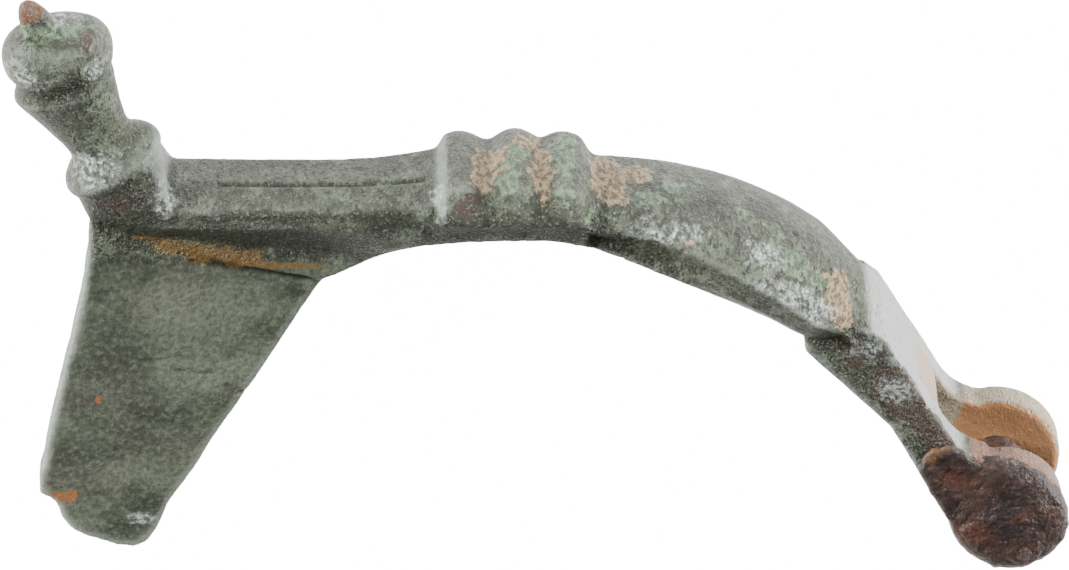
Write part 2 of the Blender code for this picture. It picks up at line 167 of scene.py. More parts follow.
# %% [markdown]
# ## Leg, ridges and bow
# One section travels from the foot to the head. Its top edge follows a flat leg and then a quarter of an
# ellipse. Over the leg the top is a very low roof, over the bow it is crowned, and below the edge the sides
# slope inwards, which is why they look dark in the picture. Where the leg meets the catch plate the section
# grows a deep hollow side that runs into the plate.

# %% The long sweep
LEG_START, BLOCK_FROM, BLOCK_TO, BOW_END = -18.9, -5.2, 3.1, 16.5
ARC_START, ARC_REACH, ARC_DROP = 1.0, 19.2, 16.4
LEG_WIDTH, BLOCK_WIDTH, BOW_WIDTH, BOW_WIDTH_AT_HEAD = 6.8, 8.9, 8.8, 12.0
RIDGES = ((-3.9, 0.44), (-1.05, 0.62), (1.4, 0.46))
EDGE = 0.3


def back_line(x):
    """Height and downward slope of the top edge: flat, then an ellipse."""
    t = np.clip((x - ARC_START) / ARC_REACH, 0.0, 0.999)
    root = np.sqrt(1.0 - t * t)
    return -ARC_DROP * (1.0 - root), ARC_DROP / ARC_REACH * t / root


def ridge_height(x):
    """The raised block with its three rounded ridges."""
    rise = np.zeros_like(x)
    for crest, height in RIDGES:
        near = np.clip(1.0 - np.abs(x - crest) / 1.25, 0.0, 1.0)
        rise = np.maximum(rise, height * np.sin(0.5 * np.pi * near))
    block = smooth_step(x, BLOCK_FROM, BLOCK_FROM + 0.55) * (1.0 - smooth_step(x, BLOCK_TO - 0.9, BLOCK_TO))
    return block * (0.62 + rise)


def flare(x):
    """The end of the leg sweeps up and out to the block, faster and faster."""
    near = np.clip((x - BLOCK_FROM + 6.0) / 6.0, 0.0, 1.0)
    return near**2 * (1.0 - smooth_step(x, BLOCK_FROM, BLOCK_FROM + 0.55))


def sweep_widths(x, along, on_leg, on_bow):
    """Half the width at the top edge and at the lower side: leg, block or bow, blended by S-curves of x."""
    width = mix(mix(BLOCK_WIDTH, LEG_WIDTH, on_leg), mix(BOW_WIDTH, BOW_WIDTH_AT_HEAD, along), on_bow)
    wide = 0.5 * (width + 0.9 * flare(x)) + 0.13 * ridge_height(x)
    wide *= 1.0 - 0.31 * smooth_step(x, 14.1, 16.1)
    wide *= 1.0 - 0.05 * on_bow * (1.0 - smooth_step(x, 3.1, 10.0))
    narrow = mix(0.5 * LEG_WIDTH, 0.5 * BOW_WIDTH, smooth_step(x, -11.2, BLOCK_TO)) + 9.0 * on_bow
    return wide, np.minimum(wide, narrow)


def long_sweep():
    """Leg, block and bow as one row of rings.

    In each ring z is the distance from the middle and n the height over the back line. The top is a roof or a
    crown, the sides lean inwards to a knee, and the underside is flat. The near side is slimmer and has a
    rounder shoulder than the far side, because the brooch isn't even."""
    x = np.concatenate([np.linspace(LEG_START, BLOCK_FROM, 70), np.linspace(BLOCK_FROM, BLOCK_TO, 170)[1:],
                        np.linspace(BLOCK_TO, BOW_END, 120)[1:]])
    along = np.clip((x - BLOCK_TO) / (BOW_END - BLOCK_TO), 0.0, 1.0)
    on_leg = 1.0 - smooth_step(x, BLOCK_FROM, BLOCK_FROM + 0.55)
    on_bow = smooth_step(x, BLOCK_TO - 0.9, BLOCK_TO)
    past_plate = np.maximum(0.0, x + 11.0)
    on_plate = np.exp(-past_plate**2 / (past_plate + 1.2) / 3.3)
    grown = np.clip((x - LEG_START) / 8.8, 0.0, 1.0)
    wide, low_wide = sweep_widths(x, along, on_leg, on_bow)
    rise = ridge_height(x) + 0.4 * flare(x)
    crown = mix(mix(0.35, 1.5, along), 0.22, on_leg)
    swell = np.sin(np.pi * np.clip((x - 0.5) / (BOW_END - 0.5), 0.0, 1.0)) ** 1.3
    depth = mix(1.55, 2.0, along) + 1.35 * swell + 3.3 * on_plate * mix(0.27, 1.0, grown**0.6)

    across = np.linspace(1.0, -1.0, 33)
    roof = mix(1.0 - across[None, :] ** 2, 1.0 - np.abs(across[None, :]), on_leg[:, None])
    on_block = (smooth_step(x, BLOCK_FROM - 0.2, BLOCK_FROM + 0.4) * (1.0 - smooth_step(x, BLOCK_TO, 7.0)))
    shoulder = 0.75 * on_block[:, None] * smooth_step(across, 0.62, 1.0)[None, :] ** 1.5
    top_z = across[None, :] * (wide[:, None] - 0.4 * EDGE)
    top_n = 0.1 + rise[:, None] + crown[:, None] * roof - EDGE * np.abs(across[None, :]) ** 14 - shoulder

    side = mix(0.57 * depth, 1.1, on_plate)
    under = 0.5 * mix(4.8, 2.25, on_plate)
    knee = mix(low_wide, under, mix(0.5, 0.88, on_plate))
    low_side = low_wide - mix(mix(0.25, 0.6, on_bow), 0.1, on_plate)
    base = -depth * mix(0.87, 1.0, on_plate)
    low_z = np.stack([0 * wide, under, knee, low_side, mix(low_side, wide, 0.55), wide], 1)
    low_n = np.stack([base, base, -mix(side, depth, 0.5), -side, -0.5 * side, -0.2 * side], 1)

    slim_bow = mix(0.82, 1.0, smooth_step(x, 5.0, 12.0))
    slim = mix(0.78, slim_bow, smooth_step(x, BLOCK_FROM - 2.2, BLOCK_FROM + 0.3))
    near = np.column_stack([0 * x + 1.0] * 3 + [slim] * 3)
    z = np.hstack([near * low_z, np.where(top_z > 0.0, slim[:, None], 1.0) * top_z, -low_z[:, :0:-1]])
    z = np.where(z < 0.0, 1.035 * z, z)
    n = np.hstack([low_n, top_n, low_n[:, :0:-1]])
    height, slope = back_line(x)
    lean = np.arctan(slope)[:, None]
    return skin(np.stack([x[:, None] + n * np.sin(lean), height[:, None] + n * np.cos(lean), z], 2))


print("long sweep:", len(long_sweep()[0]), "points, thickest over the plate")

# %% [markdown]
# ## The knobbed foot
# The finial was cast with the brooch and then turned a little crooked by hand: a collar, a goblet with its
# wide end up, a bun with a groove under it, and a nipple. Each ring of it has its own centre and its own
# lean, and a smooth curve through a few such rings gives all the others.

# %% The crooked finial
# centre X, centre Y, radius, lean in degrees, from the collar's foot to the nipple's tip
FINIAL = np.array([
    (-20.95, 0.75, 1.75, 30.5), (-21.08, 0.97, 2.25, 30.5), (-21.25, 1.25, 2.62, 30.5),
    (-21.38, 1.47, 2.76, 30.5), (-21.52, 1.7, 2.72, 30.5), (-21.74, 2.08, 2.46, 30.8),
    (-21.95, 2.5, 1.9, 31.0), (-22.15, 2.95, 1.7, 30.0), (-22.7, 3.95, 1.93, 26.5),
    (-23.25, 4.9, 2.24, 22.0), (-23.7, 5.65, 2.53, 18.5), (-23.86, 5.95, 2.64, 17.0),
    (-23.88, 6.2, 2.54, 16.0), (-23.86, 6.42, 2.42, 14.0), (-23.88, 6.62, 2.46, 12.0),
    (-23.98, 6.85, 2.64, 10.0), (-24.1, 7.2, 2.77, 9.0), (-24.16, 7.7, 2.83, 8.0),
    (-24.22, 8.2, 2.77, 8.0), (-24.28, 8.62, 2.5, 8.0), (-24.33, 8.85, 2.05, 8.0),
    (-24.55, 8.84, 1.5, 9.0), (-24.8, 8.78, 1.12, 13.0), (-24.98, 8.88, 0.98, 18.0),
    (-25.17, 9.3, 0.88, 21.0), (-25.42, 9.8, 0.7, 21.0), (-25.63, 10.2, 0.5, 21.0),
    (-25.76, 10.42, 0.26, 21.0), (-25.79, 10.47, 0.08, 21.0)])


def through(stations, steps):
    """Rows between the given rows: each stretch is blended so that the curve passes through every row."""
    rows = [stations[0]]
    padded = np.vstack([stations[0], stations, stations[-1]])
    for a, b, c, d in zip(padded, padded[1:], padded[2:], padded[3:]):
        for t in np.arange(1, steps + 1) / steps:
            rows.append(0.5 * (2 * b + (c - a) * t + (2 * a - 5 * b + 4 * c - d) * t**2
                               + (3 * b - a - 3 * c + d) * t**3))
    return np.array(rows)


def leaning_rings(rows, points=84):
    """Round rings square to an axis that leans back from upright."""
    angle = np.linspace(0.0, 2.0 * np.pi, points, endpoint=False)
    lean = np.radians(rows[:, 3])
    u, z = rows[:, 2, None] * np.cos(angle), rows[:, 2, None] * np.sin(angle)
    return np.stack([rows[:, 0, None] + u * np.cos(lean)[:, None],
                     rows[:, 1, None] + u * np.sin(lean)[:, None], z], 2)


def finial():
    """The closed skin over all the rings."""
    return skin(leaning_rings(through(FINIAL, 4)))


def foot_block():
    """The wedge that carries the collar: the hull of the collar's lower rings and the leg's first section."""
    collar = leaning_rings(np.array([(-21.3, 1.35, 2.5, 30.5), (-21.0, 0.85, 1.95, 30.5)]), 48).reshape(-1, 3)
    section = ((0.1, 3.25), (-0.3, 3.3), (-1.0, 3.0), (-2.6, 1.1))
    leg = [(LEG_START + 0.3, y, side * z) for side in (-1, 0.8) for y, z in section]
    plate_top = [(x, y, side * 0.95) for side in (-1, 1) for x, y in ((-22.6, -1.5), (-19.6, -2.5))]
    work = bmesh.new()
    for point in [*collar, *leg, *plate_top]:
        work.verts.new(point)
    bmesh.ops.convex_hull(work, input=work.verts)
    bmesh.ops.delete(work, geom=[v for v in work.verts if not v.link_faces], context="VERTS")
    work.verts.index_update()
    points = np.array([v.co[:] for v in work.verts])
    faces = [[v.index for v in f.verts] for f in work.faces]
    work.free()
    return points, faces


print("finial:", len(through(FINIAL, 4)), "rings, leaning from", FINIAL[0, 3], "to", FINIAL[-1, 3], "degrees")


# %% [markdown]
# ## Catch plate and catch
# The plate was hammered flat after casting. Its left corner has broken away and the broken edge is
# jagged. On the hidden side the foot of the plate turns up into the small hook that held the pin's point.

# %% Plate, lip and broken corner
PLATE = 1.8
CHIP = np.array((-24.7, -18.0))


def catch_plate():
    """The outline cut short and pushed about by grain, most at the broken corner, then made thick."""
    outline = [
        (-22.0, -0.8), (-22.6, -1.4), (-22.96, -4.9), (-23.45, -7.2), (-24.2, -10.7), (-24.9, -13.7),
        (-25.45, -16.9), (-25.5, -17.6), (-24.95, -17.8), (-24.4, -18.3), (-24.3, -18.95), (-23.95, -19.5),
        (-23.0, -20.05), (-21.4, -20.6), (-20.65, -20.7), (-19.95, -20.35), (-19.35, -19.5), (-18.8, -18.15)]
    outline += bend((-11.6, -6.15), (-10.7, -4.25), (-8.4, -3.0), 10)
    outline += [(-8.4, -1.1)]
    outline = np.array(outline)
    nxt = np.roll(outline, -1, 0)
    dense = np.concatenate([a + (b - a) * np.linspace(0, 1, max(2, int(np.hypot(*(b - a)) / 0.2)))[:-1, None]
                            for a, b in zip(outline, nxt)])
    broken = np.exp(-((np.hypot(*(dense - CHIP).T) / 1.5) ** 2))
    third = np.column_stack([dense, np.zeros(len(dense))])
    dense[:, 0] += 0.3 * broken * grain(third, 0.6, 3) + 0.05 * grain(third, 1.1, 4)
    dense[:, 1] += 0.3 * broken * grain(third, 0.6, 5) + 0.05 * grain(third, 1.1, 6)
    return prism(dense, -0.5 * PLATE, 0.5 * PLATE)


def catch_lip():
    """The J-shaped catch, carried along the foot of the plate on the far side."""
    start, end = np.array((-24.1, -18.95)), np.array((-20.5, -20.95))
    run = (end - start) / np.linalg.norm(end - start)
    up = np.array((-run[1], run[0]))
    start = start + 0.2 * run + 0.2 * up
    profile = [(-0.36, 0.0), (-2.7, 0.0), (-3.1, 0.4), (-3.1, 2.4),
               (-2.9, 2.6), (-2.2, 2.6), (-2.2, 0.9), (-0.36, 0.9)]
    rings = [[(*(start + along * run + height * up), z) for z, height in profile] for along in (0.0, 4.0)]
    return skin(np.array(rings))


# %% [markdown]
# ## Head and hinge
# The bow ends in a crowned lip over a steep flat bar, the bar splits into two lugs, and the slot between
# them once took the head of the pin. The lugs are two discs with worn rims.

# %% Head bar and lugs
HINGE = np.array((24.1, -16.65))
RUN = ray(-58.5)
HEAD_HALF, SLOT_HALF = 3.9, 1.8
BOW_TIP = np.array((BOW_END, -6.717))


def head_outline():
    """The bar seen from the side, from the bow down to the hinge."""
    corner = BOW_TIP + (1.25, 0.12)
    lug_top = HINGE + 3.2 * ray(105.0)
    knee = corner + (corner[1] - lug_top[1] - 1.45) / math.sin(math.radians(58.5)) * RUN
    under_run = ray(-60.7)
    under = HINGE - 2.72 * ray(29.3)
    outline = [BOW_TIP + (0.5, 0.67), corner]
    outline += bend(knee, knee + 1.3 * RUN, lug_top, 8)
    outline += [HINGE, under, under - 7.3 * under_run]
    outline += [(13.7, -7.3), (13.6, -6.4), (14.9, -5.4)]
    return np.array(outline)


def cut_by(outline, keep_above):
    """The part of an outline above or below the slot's root, a line square to the bar."""
    level = (outline - HINGE) @ RUN + (6.0 if keep_above else 6.6)
    if not keep_above:
        level = -level
    kept = []
    for a, b, la, lb in zip(outline, np.roll(outline, -1, 0), level, np.roll(level, -1)):
        if la <= 0.0:
            kept.append(a)
        if la * lb < 0.0:
            kept.append(a + (b - a) * la / (la - lb))
    return np.array(kept)


def head():
    """The solid bar above the slot, and on each side of the slot a lug with a rounded rim."""
    outline = head_outline()
    forms = [prism(cut_by(outline, True), -HEAD_HALF, HEAD_HALF)]
    far_lug = (-HEAD_HALF, -SLOT_HALF, 3.35, HINGE)
    near_lug = (SLOT_HALF, HEAD_HALF, 3.0, HINGE + (0.15, -0.05))
    for low, high, radius, centre in (far_lug, near_lug):
        forms.append(prism(cut_by(outline, False), low, high))
        rim = [(low, radius - 0.3), (low + 0.12, radius - 0.1), (low + 0.4, radius),
               (high - 0.4, radius), (high - 0.12, radius - 0.1), (high, radius - 0.3)]
        forms.append(turned(centre, rim))
    return forms


print("head:", len(head()), "forms, the slot between the lugs is", 2 * SLOT_HALF, "mm wide")


# %% [markdown]
# ## One casting
# The forms overlap, as the parts of the wax model did. A grid of small cells is wrapped round all of them at
# once, which gives one even skin without seams, and a few rounds of smoothing give every corner the soft
# fillet of worn bronze.

# %% Melting the forms together
CELL = 0.152


def to_mesh(name, points, faces):
    """A mesh from an array of points and a list of faces."""
    mesh = bpy.data.meshes.new(name)
    mesh.from_pydata(points.tolist(), [], faces)
    return mesh


def one_skin(forms, cell):
    """Points and four-cornered faces of a single even skin round several overlapping closed forms."""
    points, faces, start = [], [], 0
    for form_points, form_faces in forms:
        points.append(form_points)
        faces += [[i + start for i in face] for face in form_faces]
        start += len(form_points)
    mesh = to_mesh("forms", np.vstack(points), faces)
    work = bmesh.new()
    work.from_mesh(mesh)
    bmesh.ops.recalc_face_normals(work, faces=work.faces)
    work.to_mesh(mesh)
    work.free()
    lump = bpy.data.objects.new("forms", mesh)
    bpy.context.scene.collection.objects.link(lump)
    wrap = lump.modifiers.new("wrap", "REMESH")
    wrap.mode = "VOXEL"
    wrap.voxel_size = cell
    done = lump.evaluated_get(bpy.context.evaluated_depsgraph_get()).to_mesh()
    skin_points = np.empty(len(done.vertices) * 3)
    done.vertices.foreach_get("co", skin_points)
    corners = np.empty(len(done.loops), dtype=np.int32)
    done.loops.foreach_get("vertex_index", corners)
    bpy.data.objects.remove(lump, do_unlink=True)
    return skin_points.reshape(-1, 3), corners.reshape(-1, 4)


def edges_of(quads):
    """Each pair of neighbouring points, once per face that they share."""
    return np.vstack([quads[:, (k, (k + 1) % 4)] for k in range(4)])


def spread(values, edges, count):
    """For each point the mean of its neighbours' values."""
    start, end = edges[:, 0], edges[:, 1]
    weight = np.bincount(start, minlength=count)
    total = np.stack([np.bincount(start, values[end, k], count) for k in range(values.shape[1])], 1)
    return total / weight[:, None]


def relaxed(points, edges, rounds, share=0.5):
    """Every point moves part of the way to the middle of its neighbours, several times."""
    for _ in range(rounds):
        points = points + share * (spread(points, edges, len(points)) - points)
    return points


def normals_of(points, quads):
    """Outward directions at the points: the faces' crossed diagonals added up and made unit length."""
    across = np.cross(points[quads[:, 2]] - points[quads[:, 0]], points[quads[:, 3]] - points[quads[:, 1]])
    total = np.zeros_like(points)
    for k in range(3):
        total[:, k] = sum(np.bincount(quads[:, c], across[:, k], len(points)) for c in range(4))
    return total / np.maximum(np.linalg.norm(total, axis=1), 1e-12)[:, None]


cell = CELL
points, quads = one_skin([long_sweep(), finial(), foot_block(), catch_plate(), catch_lip(), *head()], cell)
edges = edges_of(quads)
points = relaxed(points, edges, 3)
print("casting skin:", len(points), "points,", 2 * len(quads), "triangles")

# %% [markdown]
# ## Groove, cracks, pits and deposits
# Now the finds bench's view of it: a groove engraved along the leg, hairline cracks in the plate, small
# pits, and thin deposits of soil and verdigris. Each is a height added along the skin's outward direction.
# The same masks are kept on the mesh, so that the colours sit exactly on the relief.

# %% Where the deposits sit
# each blot: its centre in X, Y and Z, and how far it reaches along them
# tan soil baked on between the ridges and beside the head
SOIL = [
    ((-2.75, 1.0, 0.2), (0.7, 0.9, 2.2)), ((-1.9, 1.0, -0.9), (0.9, 0.9, 0.8)),
    ((-1.8, 1.0, 0.9), (0.7, 0.9, 0.5)), ((0.25, 1.0, 0.5), (0.7, 0.9, 2.5)),
    ((3.7, 0.2, -0.6), (1.1, 0.8, 2.3)), ((4.9, 0.0, -1.3), (1.0, 0.5, 0.9)),
    ((15.2, -4.5, 3.6), (0.85, 1.5, 1.3)), ((15.4, -4.6, 2.2), (0.6, 1.2, 1.1)),
    ((7.7, -0.9, 4.1), (0.5, 0.2, 0.3)), ((0.0, 1.0, -2.4), (0.4, 0.8, 1.4)),
    ((-0.6, 1.5, -2.2), (0.5, 0.5, 1.0)),
]
# the ochre band where the plate grows out of the leg
OCHRE = [
    ((-17.2, -2.95, 1.0), (2.2, 0.62, 0.9)), ((-15.3, -3.4, 1.0), (1.8, 0.62, 0.9)),
    ((-12.6, -3.85, 1.0), (1.9, 0.22, 0.9)), ((-19.2, -2.4, 1.0), (1.2, 0.14, 0.9)),
]
# light verdigris
GREEN = [
    ((-1.4, 1.5, -0.9), (0.8, 0.7, 0.9)), ((-1.2, 1.5, 1.5), (0.6, 0.7, 1.6)),
    ((1.2, 1.4, -1.6), (0.8, 0.8, 1.3)), ((1.5, 1.4, 1.4), (0.5, 0.8, 2.4)),
    ((5.9, 0.0, 1.2), (0.9, 0.5, 0.7)), ((12.6, -2.4, 2.9), (0.8, 0.8, 0.9)),
    ((13.2, -2.7, 3.6), (0.6, 0.6, 0.7)), ((4.8, -0.3, 4.1), (0.9, 0.4, 0.5)),
    ((10.4, -1.1, 0.7), (0.7, 0.4, 0.7)), ((7.3, -0.2, -0.3), (0.9, 0.4, 1.0)),
    ((14.3, -3.7, 3.0), (0.7, 0.7, 1.1)), ((11.9, -2.0, 1.4), (0.6, 0.6, 0.7)),
    ((-24.2, 9.0, 0.8), (1.6, 0.5, 1.0)), ((3.0, 0.0, 3.2), (1.3, 0.4, 0.8)),
]
# stains from the rusting iron
BROWN = [
    ((-22.6, 8.95, 1.3), (0.32, 0.5, 1.0)), ((-21.3, 0.1, 2.2), (0.7, 0.45, 0.6)),
    ((-3.5, 0.9, 3.3), (0.5, 0.6, 0.5)), ((16.6, -7.2, 4.6), (1.5, 0.7, 1.2)),
    ((19.3, -10.2, 3.9), (1.5, 1.5, 0.7)), ((18.0, -8.7, 3.9), (1.0, 0.9, 0.6)),
    ((20.4, -12.0, 3.9), (1.1, 1.2, 0.5)),
]
# fresh rust on the broken corner
ORANGE = [
    ((-25.4, -17.0, 0.9), (0.25, 0.3, 0.8)), ((-24.1, -17.5, 0.9), (0.6, 0.25, 0.4)),
    ((-22.3, -11.85, 0.9), (0.2, 0.2, 0.2)), ((-24.7, -17.6, 0.6), (0.4, 0.25, 0.5)),
    ((-24.3, -18.3, 0.3), (0.4, 0.3, 0.5)),
]
# the nipple's bare, coppery tip
COPPER = [
    ((-25.6, 10.2, 0.1), (0.85, 0.75, 0.9)),
]
# painted glints: silvery highlights on patches turned towards the lamps
PAINTED_GLINTS = [
    ((-20.1, -18.9, 0.9), (0.6, 0.2, 0.3)), ((11.2, -1.9, 3.6), (1.6, 0.6, 0.7)),
    ((6.9, -0.6, 3.6), (1.8, 0.4, 0.8)), ((-22.4, 1.9, 1.9), (1.0, 0.8, 1.0)),
    ((-25.7, 7.3, 1.7), (1.0, 0.6, 1.1)), ((-22.2, 7.6, 1.6), (0.7, 0.5, 0.8)),
    ((13.4, -3.9, 5.1), (2.2, 1.6, 0.7)), ((-18.7, 0.6, 2.2), (0.4, 0.9, 1.0)),
    ((18.3, -9.4, 3.9), (0.8, 0.6, 0.5)), ((16.4, -7.0, 4.4), (1.0, 0.5, 0.8)),
    ((-5.0, 0.7, 3.0), (0.4, 0.5, 1.6)), ((-24.6, 9.0, -0.8), (1.6, 0.4, 0.9)),
]
# painted shade under edges, overhangs and along the bow's crown, with some dark dirt
PAINTED_SHADE_AND_DIRT = [
    ((-24.9, 6.6, 2.0), (1.0, 0.5, 0.8)), ((-23.9, 7.0, 2.5), (1.2, 0.55, 0.7)),
    ((-22.9, 7.3, 2.2), (0.7, 0.4, 0.7)), ((-20.9, 0.5, 2.5), (1.3, 0.8, 0.9)),
    ((-19.4, 0.0, 2.9), (0.8, 0.8, 0.8)), ((-25.0, 9.6, 1.1), (0.8, 0.3, 0.6)),
    ((-23.6, 9.0, 1.6), (0.9, 0.3, 0.6)), ((16.3, -7.0, 4.8), (0.8, 0.3, 0.9)),
    ((-3.2, -0.2, 3.8), (2.3, 0.8, 0.6)), ((0.6, -0.2, 3.8), (2.3, 0.8, 0.6)),
    ((4.2, -0.5, 3.7), (2.4, 0.5, 0.4)), ((-13.0, -0.25, 2.65), (6.6, 0.35, 0.3)),
    ((-7.4, 0.0, 2.9), (1.8, 0.4, 0.35)), ((8.7, -0.4, 0.2), (1.3, 0.6, 1.2)),
    ((11.5, -1.6, -0.6), (1.2, 0.7, 1.5)),
]
# the lighter zone of the plate
CLOUD = [
    ((-17.4, -7.2, 0.9), (3.2, 2.2, 1.5)), ((-16.9, -9.9, 0.9), (2.2, 1.6, 1.5)),
    ((-21.0, -16.4, 0.9), (2.2, 0.9, 1.5)),
]
# the darker zones of the plate
SHADE = [
    ((-21.6, -9.4, 0.9), (1.7, 2.0, 1.5)), ((-19.6, -12.6, 0.9), (1.6, 0.7, 1.5)),
    ((-23.4, -15.3, 0.9), (1.8, 0.9, 1.5)),
]
# hairline cracks: start, end and strength
CRACKS = [
    ((-17.6, -3.75), (-11.4, -4.75), 1.0), ((-18.2, -10.15), (-16.5, -10.25), 0.9),
    ((-15.7, -11.0), (-14.9, -11.35), 0.7), ((-20.3, -12.9), (-17.6, -13.6), 0.4),
    ((-19.9, -9.6), (-18.9, -9.5), 0.6),
]
print("soil:", len(SOIL), "blots, verdigris:", len(GREEN), "blots, cracks:", len(CRACKS))


# %% Blots and lines
def patch(where, centre, radii, seed=0, wobble=0.5, edge=0.22):
    """1 inside an uneven blot round a centre and 0 outside, its outline pushed about by grain."""
    reach = (where - np.array(centre)) / np.array(radii)
    ragged = wobble * (grain(where, 0.9, 50 + seed) + 0.6 * grain(where, 0.35, 70 + seed))
    return 1.0 - smooth_step(np.linalg.norm(reach, axis=1) + ragged, 1.0 - edge, 1.0 + edge)


def blots(where, places, wobble=0.5, edge=0.22):
    """The strongest of several blots at every point."""
    total = np.zeros(len(where))
    for number, (centre, radii) in enumerate(places):
        total = np.maximum(total, patch(where, centre, radii, number, wobble, edge))
    return total


def line_groove(where, ends, half_width, seed):
    """A wavering line on the near side from end to end: 1 on the line, falling to 0 at its edges."""
    a, b = np.array(ends[0]), np.array(ends[1])
    run = b - a
    share = np.clip((where[:, :2] - a) @ run / (run @ run), 0.0, 1.0)
    off = np.linalg.norm(where[:, :2] - (a + share[:, None] * run), axis=1) + 0.12 * grain(where, 0.8, seed)
    return (where[:, 2] > 0.4) * (1.0 - smooth_step(off, 0.3 * half_width, half_width))



# %% Masks on the skin
out = normals_of(points, quads)
x, y, z = points.T
# how far each face turns the way of the head's flat face, towards the right-hand lamp
face = out @ np.array((0.853, 0.522, 0.0))
by_hinge = 1.0 - smooth_step(np.hypot(*(points[:, :2] - HINGE).T), 3.5, 4.1)
far_side = 1.0 - smooth_step(z, -1.95, -1.5)
in_slot = (np.abs(z) < 1.95) * smooth_step(x, 19.2, 20.0)
slot_face = in_slot * smooth_step(out[:, 2], 0.3, 0.6) * far_side
golden = slot_face * smooth_step(x - 0.4 * y, 27.3, 27.9)
# painted highlights on faces turned to the lamps: the ridge block's left flank, the foot's end wall and the
# head's flat face
flank = 0.45 * smooth_step(-out[:, 0], 0.3, 0.6) * (np.abs(x + 5.1) < 0.7) * (y > -0.3)
end_wall = 0.35 * smooth_step(out[:, 0], 0.45, 0.75) * (np.abs(x + 19.0) < 0.9) * smooth_step(y, -0.4, 0.2)
head_face = smooth_step(face, 0.8, 0.95) * smooth_step(x, 16.6, 17.2) * (1.0 - smooth_step(x, 21.6, 22.4))
# painted glints on the bow are kept to faces turned up towards the lamps
facing_up = np.where(x > -6.0, smooth_step(out[:, 1], -0.1, 0.35) + (x > 16.0), 1.0).clip(0, 1)
# painted shade on faces that turn downwards
underside = 0.8 * smooth_step(-out[:, 1], 0.15, 0.6) * (y > -9.0)
rim_side = by_hinge * (1.0 - smooth_step(out[:, 2], 0.3, 0.6))
masks = {
    "soil": blots(points, SOIL, 0.35, 0.5),
    "ochre": blots(points, OCHRE, 0.5, 0.85),
    "green": blots(points, GREEN, 0.7, 0.7),
    "brown": blots(points, BROWN, 0.7, 0.35),
    "orange": blots(points, ORANGE, 0.7, 0.9),
    "cloud": blots(points, CLOUD, 0.5, 0.9),
    "shade": blots(points, SHADE, 0.5, 0.8),
    "copper": blots(points, COPPER, 0.3, 0.3),
    "painted_highlight": np.maximum(head_face, np.maximum(flank, end_wall)),
    "painted_glint": blots(points, PAINTED_GLINTS, 0.6, 0.7) * facing_up,
    "painted_shade_and_dirt": np.maximum(blots(points, PAINTED_SHADE_AND_DIRT, 0.5, 0.4), underside),
    "plate": (1.0 - smooth_step(y, -4.4, -2.6)) * (x < -6.0),
    "rim": np.maximum(rim_side, in_slot * (out[:, 2] > 0.4)) * far_side,
    "inner": np.maximum(golden, 0.6 * in_slot * (np.abs(out[:, 2]) < 0.5)),
    "pink": by_hinge * (1.0 - far_side) * (z > 1.5),
}
# painted shade and dirt in the groove under the bun's overhang
along_knob = (points[:, :2] - (-23.97, 6.36)) @ ray(104.0)
under_bun = np.exp(-((along_knob / 0.36) ** 2)) * (1.0 - smooth_step(x, -23.2, -21.6))
masks["painted_shade_and_dirt"] = np.maximum(masks["painted_shade_and_dirt"], under_bun * (x < -20.0))
print("largest masks:", sorted(masks, key=lambda name: -masks[name].mean())[:3])

# %% [markdown]
# The groove along the leg was cut with a graver: one clean line with a low burr. Cracks are thinner and
# wander. Pits come where the grain is strongest. Hands and cloth have polished the crests.

# %% Relief
on_leg = smooth_step(x, -16.3, -15.7) * (1.0 - smooth_step(x, -5.9, -5.4)) * (out[:, 1] > 0.6)
line_z = 0.25 + 0.03 * (x + 10.0) / 5.0 + 0.06 * grain(points * (1, 0, 0), 2.0, 8)
groove = on_leg * (1.0 - smooth_step(np.abs(z - line_z), 0.05, 0.26))
burr = on_leg * np.exp(-(((z - line_z - 0.42) / 0.16) ** 2))
crack = np.zeros(len(points))
for number, (start, end, strength) in enumerate(CRACKS):
    crack = np.maximum(crack, strength * line_groove(points, (start, end), 0.2, 20 + number))

lumps = 0.035 * rough(points, 2.6, 1) + 0.02 * rough(points, 0.7, 2, 3)
pits = smooth_step(rough(points, 0.55, 9, 2), 0.42, 0.75)
height = lumps - 0.05 * pits - 0.13 * groove + 0.04 * burr - 0.1 * crack
height += 0.05 * masks["soil"] * (1.0 + 0.6 * grain(points, 0.35, 12))
height += 0.025 * masks["green"] - 0.03 * masks["brown"]
carved = points + height[:, None] * out

wide_view = relaxed(carved, edges, 30)
bulge = np.einsum("ij,ij->i", carved - wide_view, out)
# painted shade and some dirt in the hollows, the groove and the cracks
masks["hollow"] = np.maximum(smooth_step(-bulge, 0.015, 0.11), 0.9 * np.maximum(groove, crack)).clip(0, 1)
# pale on crests and edges: partly wear, partly painted highlight
masks["wear_and_highlight"] = smooth_step(bulge, 0.03, 0.16) * (1.0 - 0.9 * masks["painted_shade_and_dirt"])
print("relief from", round(float(height.min()), 3), "to", round(float(height.max()), 3), "mm")


# %% Putting the casting in place
def place(name, points, quads, body="root"):
    """A smooth-shaded piece made from drawing millimetres and laid on the floor."""
    laid = laid_down(points)
    laid[:, 2] = np.maximum(laid[:, 2], 0.0)
    mesh = to_mesh(name, laid, quads.tolist())
    mesh.polygons.foreach_set("use_smooth", [True] * len(mesh.polygons))
    piece = bpy.data.objects.new(name, mesh)
    bpy.context.scene.collection.objects.link(piece)
    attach(piece, body)
    return piece


def keep_masks(piece, masks):
    """Store each mask on the mesh's points, where the materials read it."""
    for name, values in masks.items():
        layer = piece.data.attributes.new(name, "FLOAT", "POINT")
        layer.data.foreach_set("value", values.astype(np.float32))


casting = place("casting", carved, quads)
keep_masks(casting, masks)
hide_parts("cast_brooch")

# %% [markdown]
# ## Iron rust on the hinge
# Iron swells to several times its size as it rusts. The axle's rust burst out of the near lug and set over
# it as a lumpy crust, with a torn edge where it stops on the bar.


